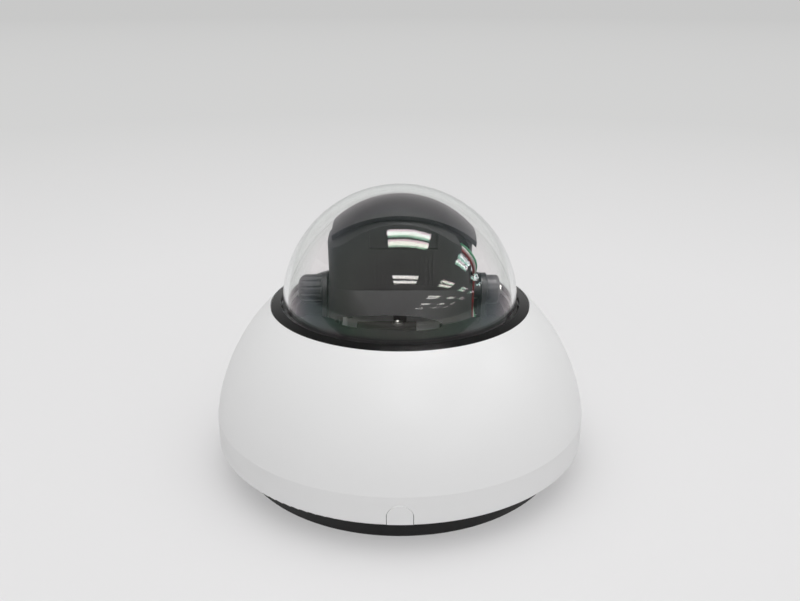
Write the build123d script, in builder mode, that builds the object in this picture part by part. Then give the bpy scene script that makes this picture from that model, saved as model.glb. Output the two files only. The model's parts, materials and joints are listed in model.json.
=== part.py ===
from build123d import *
import os
from collections import namedtuple
from math import cos, hypot, radians, sin, sqrt, tan

# A dome security camera standing on its mounting base, in millimetres.
# The origin is the centre of the base's underside, +Z is up through the dome.
# The front of the photograph, with the knockout tab, is -Y; the lens looks towards +Y.

# Fits and gaps
running_fit = 0.05
slide_gap = 0.2
part_gap = 0.3
thread_fit = 0.05
screw_clearance = 0.25

# Screws
Screw = namedtuple("Screw", "head_radius head_height shank_radius")
small_screw = Screw(1.9, 1.4, 1.0)
medium_screw = Screw(2.5, 1.8, 1.3)
large_screw = Screw(3.4, 2.4, 2.0)

# Cover: a straight band under a part sphere, open at the top
cover_shoulder = 33.8
cover_edge_z = 13.8
cover_band_top_z = 27.2
cover_wall = 2.5
cover_edge_round = 0.8
opening_lip_z = 78.2
opening_rim_height = 1.47
opening_lip_thickness = 2.2
opening_lip_width = 4.5
cover_ledge_thickness = 2.0
cover_ledge_width = 2.0
cover_boss_radius = 5.5
base_boss_radius = 4.5
cover_well_radius = 3.8
cover_well_floor_z = 52.0
cover_boss_z = 40.0
cover_screw_margin = 6.9
cover_screw_angles = (60, 120)
cover_screw_length = 24.0
hook_angles = (-30, 30)
hook_width = 10.0
hook_thickness = 2.4
hook_top_z = 18.2
hook_reach = 3.0

# Knockout tab over the side cable exit
tab_width = 11.5
tab_top_z = 23.4
tab_gap = 0.25
tab_edge_step = 0.3
side_exit_width = 8.5
side_exit_height = 7.5

# Mounting base
base_inset = 11.0
base_chamfer = 1.0
base_shoulder_z = 13.2
base_spigot_top_z = 24.0
base_floor = 3.0
base_wall = 2.5
spigot_gap = 0.6
wall_hole_circle = 66.0
wall_hole_count = 4
wall_hole_start = 45.0
wall_hole_radius = 2.3
cable_hole_y = 44.0
cable_hole_radius = 6.0
cable_bore_radius = 3.2
grommet_flange_radius = 8.5
grommet_flange = 2.0
grommet_collar_height = 4.0
grommet_collar_radius = 4.8

# Posts that carry the pan deck
post_edge = 4.0
post_count = 4
post_radius = 3.8
post_pilot_depth = 12.0
deck_drop = 18.2
deck_thickness = 3.0
deck_edge = 7.4
deck_screw_length = 12.0
snap_count = 4
snap_start = 45.0
snap_width = 9.0
snap_thickness = 2.4
snap_lip = 2.4
snap_lip_height = 1.7

# Main board and what stands on it
board_width = 84.0
board_depth = 60.0
board_thickness = 1.6
board_y = -6.0
board_bottom_z = 10.0
board_hole_inset = 4.0
board_boss_radius = 3.0
board_screw_length = 6.0
jack_width = 16.0
jack_depth = 21.0
jack_height = 13.5
jack_place = (-26.0, 10.0)
jack_mouth_width = 11.8
jack_mouth_height = 8.4
jack_mouth_depth = 14.0
terminal_pole = 5.0
terminal_poles = 3
terminal_depth = 8.0
terminal_height = 10.0
terminal_place = (20.0, 17.0)
terminal_entry_radius = 1.6
terminal_entry_z = 3.0
card_width = 14.0
card_depth = 15.0
card_height = 2.0
card_slot_height = 0.9
card_place = (24.0, -24.0)
shield_size = 24.0
shield_height = 4.0
shield_place = (0.0, -4.0)
shield_corner = 1.5
shield_fin_gap = 2.0
shield_fin_count = 5
shield_fin_height = 2.5
led_radius = 1.0
led_height = 1.6
led_place = (36.0, 4.0)
switch_size = 6.0
switch_height = 3.4
switch_place = (34.0, -7.0)
button_radius = 1.7
button_proud = 1.4
button_travel = 0.25
button_depth = 1.5

# Dome, its seal and its clamp
dome_radius = 56.2
dome_wall = 2.5
dome_center_rise = 0.8
dome_flange_width = 3.3
dome_lip_gap = 1.4
dome_flange_thickness = 2.5
gasket_thickness = 1.0
clamp_edge = 2.3
clamp_thickness = 2.5
clamp_screw_margin = 2.8
clamp_screw_count = 6
clamp_screw_start = 30.0
clamp_boss_radius = 2.2
clamp_screw_length = 5.5
trim_gap = 0.8
trim_outer_height = 1.2
trim_inner_height = 2.5
trim_round = 0.5

# Camera unit: pan ring, yokes and liner turn about Z
axis_rise = 6.0
unit_x = 2.0
pan_flange_width = 4.9
pan_flange_thickness = 2.8
pan_neck_wall = 1.8
brim_drop = 2.9
brim_thickness = 2.0
brim_gap = 1.4
pad_width = 28.0
pad_inner_x = 31.0
shelf_width = 30.0
shelf_x = -6.0
shelf_inner_y = 18.0
lug_inset = 2.0
lug_angles = (35, 145, 226, 317)
lug_radius = 2.6
lug_height = 3.2
liner_screw_length = 4.6
yoke_inner = 36.5
yoke_thickness = 2.5
yoke_round = 8.0
yoke_foot_length = 9.5
yoke_foot_thickness = 2.4
yoke_screw_x = 42.5
yoke_screw_y = 4.5
yoke_screw_length = 4.6

# Liner: a round-cornered crown closed by a sphere, with a flared skirt and a brim
crown_x = 0.0
crown_half_width = 32.8
crown_rear_y = -22.0
crown_front_y = 50.0
crown_corner = 12.0
crown_gap = 0.4
liner_wall = 2.0
skirt_height = 14.9
skirt_half_width = 38.5
skirt_rear_y = -28.0
skirt_front_y = 30.0
skirt_corner = 28.0
lens_slot_half_width = 22.6
lens_slot_low_angle = -22.0
lens_slot_high_angle = 110.0
pocket_half_depth = 17.0
pocket_margin = 1.5
axle_slot_gap = 0.6
panel_x = 1.7
panel_width = 30.0
panel_bottom = 26.4
panel_top = 33.0
panel_depth = 1.0
seam_width = 0.5
seam_depth = 0.5
seam_x = 3.2
rib_pitch = 1.8
rib_width = 0.6
rib_depth = 0.5
rib_count = 15
arch_half_width = 24.4
arch_x = -5.2
arch_height = 4.4
arch_inner_y = -14.0
arch_hole_y = -24.8
arch_hole_half_depth = 8.0
arch_hole_turn = -7.0
wire_notch_width = 5.2
wire_notch_bottom = 19.0

# Pan lock behind the arch
lock_bar_width = 27.0
lock_bar_depth = 7.8
lock_bar_height = 10.5
lock_bar_y = -24.4
lock_screw_x = -1.0
lock_screw_length = 12.5

# Visor and cradle tilt about X; the lens points this far above the horizon at rest
rest_elevation = 45.0
visor_gap = 1.9
visor_wall = 2.0
visor_half_width = 32.4
visor_low_angle = 5.0
visor_high_angle = 117.0
visor_hole_gap = 1.0
visor_arm_x = 20.0
visor_arm_thickness = 4.0
visor_arm_height = 16.0
visor_screw_v = 5.0
visor_screw_length = 8.0
visor_path_margin = 1.0
cheek_radius = 14.0
cheek_side_gap = 1.5
cheek_thickness = 2.4
plate_back = 4.0
plate_thickness = 3.0
plate_height = 34.0
plate_corner = 8.0
axle_radius = 4.0
pivot_cap_radius = 7.0
pivot_cap_thickness = 6.0
pivot_screw_length = 12.0
cap_chamfer = 0.8
knob_radius = 7.2
knob_length = 11.5
knob_flutes = 14
knob_flute_radius = 0.8
knob_round = 4.0
knob_stud_radius = 1.6
knob_stud_length = 8.5

# Lens and sensor, measured along the optical axis from the tilt axis
sleeve_radius = 15.0
sleeve_back = -6.0
roll_flange_radius = 17.0
roll_flange_thickness = 1.8
retainer_radius = 17.4
retainer_thickness = 1.8
barrel_radius = 10.5
barrel_bore = 8.4
barrel_back = 0.0
shoulder_radius = 12.0
shoulder_thickness = 4.6
ring_radius = 13.0
ring_sides = 24
zoom_ring_length = 8.4
focus_ring_length = 9.4
ring_gap = 0.5
pin_radius = 1.1
pin_tip = 17.0
pin_head_radius = 1.7
pin_head_height = 2.0
bezel_radius = 12.6
bezel_recess = 2.0
bezel_lip_depth = 3.5
bezel_lip_radius = 9.6
front_glass_radius = 10.0
front_glass_edge = 2.0
front_glass_crown = 2.6
rear_glass_radius = 8.0
rear_glass_edge = 1.6
rear_glass_place = 2.5
rear_glass_crown = 1.4
sensor_board_size = 24.0
sensor_board_thickness = 1.6
sensor_width = 9.0
sensor_height = 7.0
sensor_thickness = 1.4
filter_thickness = 0.8

# Wires from the camera unit, down the right side of the crown
wire_radius = 0.55
wire_pitch = 1.6
bend_share = 0.45
plug_length = 4.5
plug_depth = 4.6
plug_height = 4.0

# Worked out from the sizes above
cover_radius = dome_radius + cover_shoulder
base_bottom_radius = cover_radius - base_inset
opening_lip_radius = dome_radius + dome_lip_gap
opening_radius = opening_lip_radius + opening_lip_width
opening_z = opening_lip_z + opening_rim_height
cover_rise = opening_z - cover_band_top_z
cover_narrowing = cover_radius**2 - opening_radius**2
cover_sphere_z = (opening_z + cover_band_top_z) / 2 - cover_narrowing / (2 * cover_rise)
cover_sphere = hypot(cover_radius, cover_band_top_z - cover_sphere_z)
cover_inner_sphere = cover_sphere - cover_wall
band_inner_radius = cover_radius - cover_wall
spigot_radius = band_inner_radius - spigot_gap
through_base = 4 * base_wall
ledge_z = base_spigot_top_z
tab_half = tab_width / 2 - tab_gap
tab_arch_z = tab_top_z - tab_width / 2
tab_bottom_z = cover_edge_z + tab_edge_step
dome_center_z = opening_lip_z + dome_center_rise
dome_inner_radius = dome_radius - dome_wall
dome_flange_radius = dome_radius + dome_flange_width
gasket_outer_radius = dome_flange_radius - slide_gap
clamp_inner_radius = dome_inner_radius + part_gap
clamp_screw_circle = dome_flange_radius + clamp_screw_margin
clamp_outer_radius = clamp_screw_circle + clamp_edge
cover_screw_circle = clamp_outer_radius + cover_screw_margin
trim_inner_radius = dome_radius + trim_gap
trim_outer_radius = opening_radius - part_gap
trim_outer_z = opening_lip_z + trim_outer_height
trim_inner_z = opening_lip_z + trim_inner_height
lip_bottom_z = opening_lip_z - opening_lip_thickness
flange_top_z = lip_bottom_z - gasket_thickness
flange_bottom_z = flange_top_z - dome_flange_thickness
clamp_bottom_z = flange_bottom_z - clamp_thickness
deck_bottom_z = opening_lip_z - deck_drop
deck_top_z = deck_bottom_z + deck_thickness
pan_bottom_z = deck_top_z + slide_gap
pan_top_z = pan_bottom_z + pan_flange_thickness
brim_radius = dome_inner_radius - brim_gap
neck_inner_radius = brim_radius - pan_neck_wall
lug_circle = neck_inner_radius - lug_inset
pan_flange_radius = brim_radius + pan_flange_width
deck_inner_radius = neck_inner_radius
deck_outer_radius = pan_flange_radius + deck_edge
post_circle = deck_outer_radius - post_edge
brim_bottom_z = opening_lip_z - brim_drop
brim_top_z = brim_bottom_z + brim_thickness
skirt_top_z = brim_top_z + skirt_height
pocket_top_z = skirt_top_z + pocket_margin
axis_z = dome_center_z + axis_rise
visor_radius = dome_inner_radius - axis_rise - visor_gap
crown_sphere = visor_radius - visor_wall - crown_gap
brim_front_radius = crown_sphere - liner_wall + slide_gap
panel_bottom_z = axis_z + panel_bottom
panel_top_z = axis_z + panel_top
board_top_z = board_bottom_z + board_thickness
plate_front = plate_back + plate_thickness
sleeve_front = plate_front + slide_gap
lens_seat = sleeve_front + roll_flange_thickness
zoom_back = lens_seat + shoulder_thickness + ring_gap
focus_back = zoom_back + zoom_ring_length + ring_gap
bezel_back = focus_back + focus_ring_length + ring_gap
bezel_front = sqrt(visor_radius**2 - bezel_radius**2) - bezel_recess
barrel_front = bezel_front - bezel_lip_depth
visor_hole_radius = bezel_radius + visor_hole_gap
cheek_outer = crown_half_width - liner_wall - abs(unit_x - crown_x) - cheek_side_gap
yoke_outer = yoke_inner + yoke_thickness

axis_point = (unit_x, 0, axis_z)
aim = (0, cos(radians(rest_elevation)), sin(radians(rest_elevation)))
aim_up = (0, -sin(radians(rest_elevation)), cos(radians(rest_elevation)))
optical_axis = Axis(axis_point, aim)
optic = Plane(origin=axis_point, x_dir=(1, 0, 0), z_dir=aim)
lens_section = Plane(origin=axis_point, x_dir=(1, 0, 0), z_dir=aim_up)
optic_back = Plane(origin=axis_point, x_dir=(1, 0, 0), z_dir=[-a for a in aim])
facing_down = Plane(origin=(0, 0, 0), x_dir=(1, 0, 0), z_dir=(0, 0, -1))


def polar_places(radius, angles):
    """Points on a circle about the Z axis, at angles in degrees from +X."""
    return [(radius * cos(radians(a)), radius * sin(radians(a))) for a in angles]


def even_angles(count, start=0.0):
    """Equally spaced angles in degrees."""
    return [start + 360.0 * i / count for i in range(count)]


def outward_plane(angle, distance):
    """An upright plane facing away from the Z axis, angle degrees round from -Y."""
    a = radians(angle)
    outward = (sin(a), -cos(a), 0)
    return Plane(
        origin=(distance * outward[0], distance * outward[1], 0),
        x_dir=(cos(a), sin(a), 0),
        z_dir=outward,
    )


def axis_fan(low_angle, high_angle, reach):
    """Corners of a wedge in the YZ plane, from the tilt axis out past a sphere."""
    middle = (low_angle + high_angle) / 2
    angles = (low_angle, (low_angle + middle) / 2, middle, (middle + high_angle) / 2, high_angle)
    rim = [(reach * cos(radians(a)), axis_z + reach * sin(radians(a))) for a in angles]
    return [(0, axis_z)] + rim


def screw_group(plane, places, screw, length):
    """Round-headed screws: heads stand on the plane, shanks run back through it."""
    with BuildPart() as screws:
        with BuildSketch(plane):
            with Locations(*places):
                Circle(screw.head_radius)
        extrude(amount=screw.head_height)
        with BuildSketch(plane):
            with Locations(*places):
                Circle(screw.shank_radius)
        extrude(amount=-length)
    return screws


wall_hole_places = polar_places(wall_hole_circle, even_angles(wall_hole_count, wall_hole_start))
post_places = polar_places(post_circle, even_angles(post_count))
cover_screw_places = polar_places(cover_screw_circle, cover_screw_angles)
clamp_screw_places = polar_places(clamp_screw_circle, even_angles(clamp_screw_count, clamp_screw_start))
lug_places = polar_places(lug_circle, lug_angles)
board_hole_x = board_width / 2 - board_hole_inset
board_hole_y = board_depth / 2 - board_hole_inset
board_hole_places = [
    (x, board_y + y) for x in (-board_hole_x, board_hole_x) for y in (-board_hole_y, board_hole_y)
]

# Mounting base: a dish with a flared wall and a spigot that centres the cover
with BuildPart() as mounting_base:
    with BuildSketch(Plane.XZ):
        with BuildLine():
            Polyline(
                (0, 0),
                (base_bottom_radius - base_chamfer, 0),
                (base_bottom_radius, base_chamfer),
                (spigot_radius, base_shoulder_z),
                (spigot_radius, base_spigot_top_z),
                (spigot_radius - base_wall, base_spigot_top_z),
                (spigot_radius - base_wall, base_shoulder_z),
                (base_bottom_radius - base_wall, base_floor),
                (0, base_floor),
                close=True,
            )
        make_face()
    revolve(axis=Axis.Z)
    with BuildSketch(Plane.XY.offset(base_floor)):
        with Locations(*post_places):
            Circle(post_radius)
    extrude(amount=deck_bottom_z - base_floor)
    with BuildSketch(Plane.XY.offset(base_floor)):
        with Locations(*cover_screw_places):
            Circle(base_boss_radius)
    extrude(amount=cover_boss_z - base_floor)
    with BuildSketch(Plane.XY.offset(base_floor)):
        with Locations(*board_hole_places):
            Circle(board_boss_radius)
    extrude(amount=board_bottom_z - base_floor)
    with BuildSketch(Plane.XY.offset(deck_bottom_z)):
        with Locations(*post_places):
            Circle(medium_screw.shank_radius + thread_fit)
    extrude(amount=-post_pilot_depth, mode=Mode.SUBTRACT)
    with BuildSketch(Plane.XY.offset(cover_boss_z)):
        with Locations(*cover_screw_places):
            Circle(large_screw.shank_radius + thread_fit)
    extrude(amount=-cover_screw_length, mode=Mode.SUBTRACT)
    with BuildSketch(Plane.XY.offset(board_bottom_z)):
        with Locations(*board_hole_places):
            Circle(small_screw.shank_radius + thread_fit)
    extrude(amount=-board_screw_length, mode=Mode.SUBTRACT)
    with BuildSketch(Plane.XY):
        with Locations(*wall_hole_places):
            Circle(wall_hole_radius)
        with Locations((0, cable_hole_y)):
            Circle(cable_hole_radius)
    extrude(amount=base_floor, mode=Mode.SUBTRACT)
    with BuildSketch(outward_plane(0, spigot_radius - through_base / 2)):
        with Locations((0, base_shoulder_z + side_exit_height / 2 + base_chamfer)):
            Rectangle(side_exit_width, side_exit_height)
    extrude(amount=through_base, mode=Mode.SUBTRACT)
    for angle in hook_angles:
        with BuildSketch(outward_plane(angle, spigot_radius - through_base / 2)):
            with Locations((0, hook_top_z - hook_thickness / 2)):
                Rectangle(hook_width + 2 * part_gap, hook_thickness + 2 * part_gap)
        extrude(amount=through_base, mode=Mode.SUBTRACT)

# Rubber grommet in the cable hole: its flange lies on the floor of the base
with BuildPart() as cable_grommet:
    with BuildSketch(Plane(origin=(0, cable_hole_y, 0), x_dir=(1, 0, 0), z_dir=(0, -1, 0))):
        with BuildLine():
            Polyline(
                (cable_bore_radius, 0),
                (cable_hole_radius - slide_gap, 0),
                (cable_hole_radius - slide_gap, base_floor),
                (grommet_flange_radius, base_floor),
                (grommet_flange_radius, base_floor + grommet_flange),
                (cable_hole_radius, base_floor + grommet_flange),
                (grommet_collar_radius, base_floor + grommet_flange + grommet_collar_height),
                (cable_bore_radius, base_floor + grommet_flange + grommet_collar_height),
                close=True,
            )
        make_face()
    revolve(axis=Axis((0, cable_hole_y, 0), (0, 0, 1)))

# Main board on its four bosses
with BuildPart() as main_board:
    with BuildSketch(Plane.XY.offset(board_bottom_z)):
        with Locations((0, board_y)):
            Rectangle(board_width, board_depth)
        with Locations(*board_hole_places):
            Circle(small_screw.shank_radius + screw_clearance, mode=Mode.SUBTRACT)
    extrude(amount=board_thickness)

board_screws = screw_group(
    Plane.XY.offset(board_top_z), board_hole_places, small_screw, board_screw_length
)

# Network jack with its mouth towards the cable hole
with BuildPart() as network_jack:
    with BuildSketch(Plane.XY.offset(board_top_z)):
        with Locations(jack_place):
            Rectangle(jack_width, jack_depth)
    extrude(amount=jack_height)
    with BuildSketch(Plane.XZ.offset(-jack_place[1] - jack_depth / 2)):
        with Locations((jack_place[0], board_top_z + jack_height / 2)):
            Rectangle(jack_mouth_width, jack_mouth_height)
    extrude(amount=jack_mouth_depth, mode=Mode.SUBTRACT)

# Power terminals: a row of poles with round wire entries
with BuildPart() as power_terminals:
    with BuildSketch(Plane.XY.offset(board_top_z)):
        with Locations(terminal_place):
            Rectangle(terminal_poles * terminal_pole, terminal_depth)
    extrude(amount=terminal_height)
    with BuildSketch(Plane.XZ.offset(-terminal_place[1] - terminal_depth / 2)):
        with Locations((terminal_place[0], board_top_z + terminal_entry_z)):
            with GridLocations(terminal_pole, 1, terminal_poles, 1):
                Circle(terminal_entry_radius)
    extrude(amount=terminal_depth / 2, mode=Mode.SUBTRACT)

# Memory card slot with its mouth at the board's edge
with BuildPart() as card_slot:
    with BuildSketch(Plane.XY.offset(board_top_z)):
        with Locations(card_place):
            Rectangle(card_width, card_depth)
    extrude(amount=card_height)
    with BuildSketch(Plane.XZ.offset(-card_place[1] + card_depth / 2)):
        with Locations((card_place[0], board_top_z + card_height / 2)):
            Rectangle(card_width - 2 * card_slot_height, card_slot_height)
    extrude(amount=-card_depth / 2, mode=Mode.SUBTRACT)

# Processor shield with cooling fins
with BuildPart() as processor_shield:
    with BuildSketch(Plane.XY.offset(board_top_z)):
        with Locations(shield_place):
            RectangleRounded(shield_size, shield_size, shield_corner)
    extrude(amount=shield_height)
    with BuildSketch(Plane.XY.offset(board_top_z + shield_height)):
        with Locations(shield_place):
            with GridLocations(2 * shield_fin_gap, 1, shield_fin_count, 1):
                Rectangle(shield_fin_gap, shield_size - 2 * shield_corner)
    extrude(amount=shield_fin_height)

with BuildPart() as status_led:
    with BuildSketch(Plane.XY.offset(board_top_z)):
        with Locations(led_place):
            Circle(led_radius)
    extrude(amount=led_height)

# Reset switch: a body with a well for its button
with BuildPart() as reset_switch:
    with BuildSketch(Plane.XY.offset(board_top_z)):
        with Locations(switch_place):
            Rectangle(switch_size, switch_size)
    extrude(amount=switch_height)
    with BuildSketch(Plane.XY.offset(board_top_z + switch_height)):
        with Locations(switch_place):
            Circle(button_radius + running_fit)
    extrude(amount=-button_depth - 2 * button_travel, mode=Mode.SUBTRACT)

with BuildPart() as reset_button:
    with BuildSketch(Plane.XY.offset(board_top_z + switch_height - button_depth)):
        with Locations(switch_place):
            Circle(button_radius)
    extrude(amount=button_depth + button_proud)

# Pan deck: a ring on the four posts, with snap hooks over the pan ring's flange
snap_inner = pan_flange_radius + part_gap
with BuildPart() as pan_deck:
    with BuildSketch(Plane.XY.offset(deck_bottom_z)):
        Circle(deck_outer_radius)
        Circle(deck_inner_radius, mode=Mode.SUBTRACT)
        with Locations(*post_places):
            Circle(medium_screw.shank_radius + screw_clearance, mode=Mode.SUBTRACT)
    extrude(amount=deck_thickness)
    with BuildSketch(Plane.XY.offset(deck_top_z)):
        with PolarLocations(snap_inner + snap_thickness / 2, snap_count, snap_start):
            Rectangle(snap_thickness, snap_width)
    extrude(amount=slide_gap + pan_flange_thickness + part_gap + snap_lip_height)
    with BuildSketch(Plane.XY.offset(pan_top_z + part_gap)):
        with PolarLocations(snap_inner - snap_lip / 2, snap_count, snap_start):
            Rectangle(snap_lip, snap_width)
    extrude(amount=snap_lip_height)

deck_screws = screw_group(
    Plane.XY.offset(deck_top_z), post_places, medium_screw, deck_screw_length
)

# Screw bosses inside the cover, trimmed to its outer sphere
with BuildPart() as cover_bosses:
    with BuildSketch(Plane.XY.offset(cover_boss_z)):
        with Locations(*cover_screw_places):
            Circle(cover_boss_radius)
    extrude(amount=cover_sphere)
    with BuildSketch(Plane.XY.offset(flange_bottom_z)):
        with Locations(*clamp_screw_places):
            Circle(clamp_boss_radius)
    extrude(amount=dome_flange_thickness + gasket_thickness)
    with Locations((0, 0, cover_sphere_z)):
        Sphere(cover_sphere - cover_wall / 2, mode=Mode.INTERSECT)

# Cover: straight band, spherical shell, ledge on the base and lip round the dome
lip_root_radius = sqrt(cover_inner_sphere**2 - (lip_bottom_z - cover_sphere_z) ** 2)
band_inner_top_z = cover_sphere_z + sqrt(cover_inner_sphere**2 - band_inner_radius**2)
with BuildPart() as cover_shell:
    with BuildSketch(Plane.XZ):
        with BuildLine():
            Line((band_inner_radius, cover_edge_z), (cover_radius - cover_edge_round, cover_edge_z))
            RadiusArc(
                (cover_radius - cover_edge_round, cover_edge_z),
                (cover_radius, cover_edge_z + cover_edge_round),
                -cover_edge_round,
            )
            Line((cover_radius, cover_edge_z + cover_edge_round), (cover_radius, cover_band_top_z))
            RadiusArc((cover_radius, cover_band_top_z), (opening_radius, opening_z), -cover_sphere)
            Polyline(
                (opening_radius, opening_z),
                (opening_radius, opening_lip_z),
                (opening_lip_radius, opening_lip_z),
                (opening_lip_radius, lip_bottom_z),
                (lip_root_radius, lip_bottom_z),
            )
            RadiusArc(
                (lip_root_radius, lip_bottom_z),
                (band_inner_radius, band_inner_top_z),
                cover_inner_sphere,
            )
            Polyline(
                (band_inner_radius, band_inner_top_z),
                (band_inner_radius, ledge_z + cover_ledge_thickness),
                (band_inner_radius - cover_ledge_width, ledge_z + cover_ledge_thickness),
                (band_inner_radius - cover_ledge_width, ledge_z),
                (band_inner_radius, ledge_z),
                (band_inner_radius, cover_edge_z),
            )
        make_face()
    revolve(axis=Axis.Z)
    add(cover_bosses.part)
    for angle in hook_angles:
        with BuildSketch(outward_plane(angle, band_inner_radius - hook_reach)):
            with Locations((0, hook_top_z - hook_thickness / 2)):
                Rectangle(hook_width, hook_thickness)
        extrude(amount=hook_reach + cover_wall / 2)
    with BuildSketch(Plane.XY.offset(cover_well_floor_z)):
        with Locations(*cover_screw_places):
            Circle(cover_well_radius)
    extrude(amount=cover_sphere, mode=Mode.SUBTRACT)
    with BuildSketch(Plane.XY.offset(cover_boss_z)):
        with Locations(*cover_screw_places):
            Circle(large_screw.shank_radius + screw_clearance)
    extrude(amount=cover_well_floor_z - cover_boss_z, mode=Mode.SUBTRACT)
    with BuildSketch(Plane.XY.offset(flange_bottom_z)):
        with Locations(*clamp_screw_places):
            Circle(small_screw.shank_radius + thread_fit)
    extrude(amount=clamp_screw_length - clamp_thickness, mode=Mode.SUBTRACT)
    with BuildSketch(outward_plane(0, band_inner_radius - part_gap)):
        with Locations((0, cover_edge_z)):
            Rectangle(tab_width, 2 * (tab_arch_z - cover_edge_z))
        with Locations((0, tab_arch_z)):
            Circle(tab_width / 2)
    extrude(amount=2 * cover_wall, mode=Mode.SUBTRACT)

cover_screws = screw_group(
    Plane.XY.offset(cover_well_floor_z), cover_screw_places, large_screw, cover_screw_length
)

# Knockout tab: a piece of the band with a round top, backed by the base's spigot
with BuildPart() as knockout_tab:
    with BuildSketch(outward_plane(0, spigot_radius)):
        with BuildLine():
            Polyline(
                (-tab_half, tab_arch_z),
                (-tab_half, tab_bottom_z),
                (tab_half, tab_bottom_z),
                (tab_half, tab_arch_z),
            )
            RadiusArc((tab_half, tab_arch_z), (-tab_half, tab_arch_z), -tab_half)
        make_face()
    extrude(amount=2 * cover_wall, both=True)
    Cylinder(cover_radius, 2 * cover_radius, mode=Mode.INTERSECT)
    Cylinder(spigot_radius + part_gap, 2 * cover_radius, mode=Mode.SUBTRACT)

# Trim ring on the cover's lip, its top sloping down outwards
with BuildPart() as trim_ring:
    with BuildSketch(Plane.XZ):
        with BuildLine():
            FilletPolyline(
                (opening_lip_radius, opening_lip_z),
                (trim_outer_radius, opening_lip_z),
                (trim_outer_radius, trim_outer_z),
                (trim_inner_radius, trim_inner_z),
                (trim_inner_radius, opening_lip_z + trim_round),
                radius=trim_round / 2,
                close=True,
            )
        make_face()
    revolve(axis=Axis.Z)

# Clear dome: a hemisphere on a short skirt with a clamping flange
with BuildPart() as dome_bubble:
    with BuildSketch(Plane.XZ):
        with BuildLine():
            RadiusArc((dome_radius, dome_center_z), (0, dome_center_z + dome_radius), -dome_radius)
            Line((0, dome_center_z + dome_radius), (0, dome_center_z + dome_radius - dome_wall))
            RadiusArc(
                (0, dome_center_z + dome_radius - dome_wall),
                (dome_radius - dome_wall, dome_center_z),
                dome_radius - dome_wall,
            )
            Polyline(
                (dome_radius - dome_wall, dome_center_z),
                (dome_radius - dome_wall, flange_bottom_z),
                (dome_flange_radius, flange_bottom_z),
                (dome_flange_radius, flange_top_z),
                (dome_radius, flange_top_z),
                (dome_radius, dome_center_z),
            )
        make_face()
    revolve(axis=Axis.Z)

with BuildPart() as dome_gasket:
    with BuildSketch(Plane.XY.offset(flange_top_z)):
        Circle(gasket_outer_radius)
        Circle(opening_lip_radius, mode=Mode.SUBTRACT)
    extrude(amount=gasket_thickness)

# Clamp ring that pulls the dome's flange up against the gasket
with BuildPart() as dome_clamp_ring:
    with BuildSketch(Plane.XY.offset(clamp_bottom_z)):
        Circle(clamp_outer_radius)
        Circle(clamp_inner_radius, mode=Mode.SUBTRACT)
        with Locations(*clamp_screw_places):
            Circle(small_screw.shank_radius + screw_clearance, mode=Mode.SUBTRACT)
    extrude(amount=clamp_thickness)

clamp_screws = screw_group(
    facing_down.offset(-clamp_bottom_z), clamp_screw_places, small_screw, clamp_screw_length
)

# Pan ring: a flange on the deck, a neck under the liner, pads for the yokes and a rear shelf
pad_outer_x = pan_flange_radius - 2 * pan_flange_thickness
lock_screw_place = (lock_screw_x, lock_bar_y)
yoke_screw_places = {
    side: [(unit_x + side * yoke_screw_x, y) for y in (-yoke_screw_y, yoke_screw_y)] for side in (-1, 1)
}
with BuildPart() as pan_ring:
    with BuildSketch(Plane.XY.offset(pan_bottom_z)):
        Circle(pan_flange_radius)
        Circle(deck_inner_radius, mode=Mode.SUBTRACT)
        for side in (-1, 1):
            pad_inner = unit_x + side * pad_inner_x
            with Locations(((pad_inner + side * pad_outer_x) / 2, 0)):
                Rectangle(abs(side * pad_outer_x - pad_inner), pad_width)
        with Locations((shelf_x, -(shelf_inner_y + pad_outer_x) / 2)):
            Rectangle(shelf_width, pad_outer_x - shelf_inner_y)
        with Locations(*yoke_screw_places[-1], *yoke_screw_places[1]):
            Circle(small_screw.shank_radius + screw_clearance, mode=Mode.SUBTRACT)
        with Locations(lock_screw_place):
            Circle(medium_screw.shank_radius + thread_fit, mode=Mode.SUBTRACT)
    extrude(amount=pan_flange_thickness)
    with BuildSketch(Plane.XY.offset(pan_top_z)):
        Circle(brim_radius)
        Circle(neck_inner_radius, mode=Mode.SUBTRACT)
    extrude(amount=brim_bottom_z - pan_top_z)
    with BuildSketch(Plane.XY.offset(brim_bottom_z)):
        with Locations(*lug_places):
            Circle(lug_radius)
    extrude(amount=-lug_height)
    with BuildSketch(Plane.XY.offset(brim_bottom_z)):
        with Locations(*lug_places):
            Circle(small_screw.shank_radius + screw_clearance)
    extrude(amount=-lug_height, mode=Mode.SUBTRACT)


def make_yoke(side):
    """An upright with a bearing hole on the tilt axis and a foot on the pan ring's pad."""
    with BuildPart() as yoke:
        with BuildSketch(Plane.YZ.offset(unit_x + side * yoke_inner)):
            with Locations((0, pan_top_z)):
                Rectangle(2 * yoke_round, axis_z - pan_top_z, align=(Align.CENTER, Align.MIN))
            with Locations((0, axis_z)):
                Circle(yoke_round)
                Circle(axle_radius + running_fit, mode=Mode.SUBTRACT)
        extrude(amount=side * yoke_thickness)
        with BuildSketch(Plane.XY.offset(pan_top_z)):
            with Locations((unit_x + side * (yoke_inner + yoke_foot_length / 2), 0)):
                Rectangle(yoke_foot_length, 2 * yoke_round)
        extrude(amount=yoke_foot_thickness)
        with BuildSketch(Plane.XY.offset(pan_top_z)):
            with Locations(*yoke_screw_places[side]):
                Circle(small_screw.shank_radius + thread_fit)
        extrude(amount=yoke_screw_length - pan_flange_thickness, mode=Mode.SUBTRACT)
    return yoke


yoke_left = make_yoke(-1)
yoke_right = make_yoke(1)
yoke_screws = screw_group(
    facing_down.offset(-pan_bottom_z),
    yoke_screw_places[-1] + yoke_screw_places[1],
    small_screw,
    yoke_screw_length,
)


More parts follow.
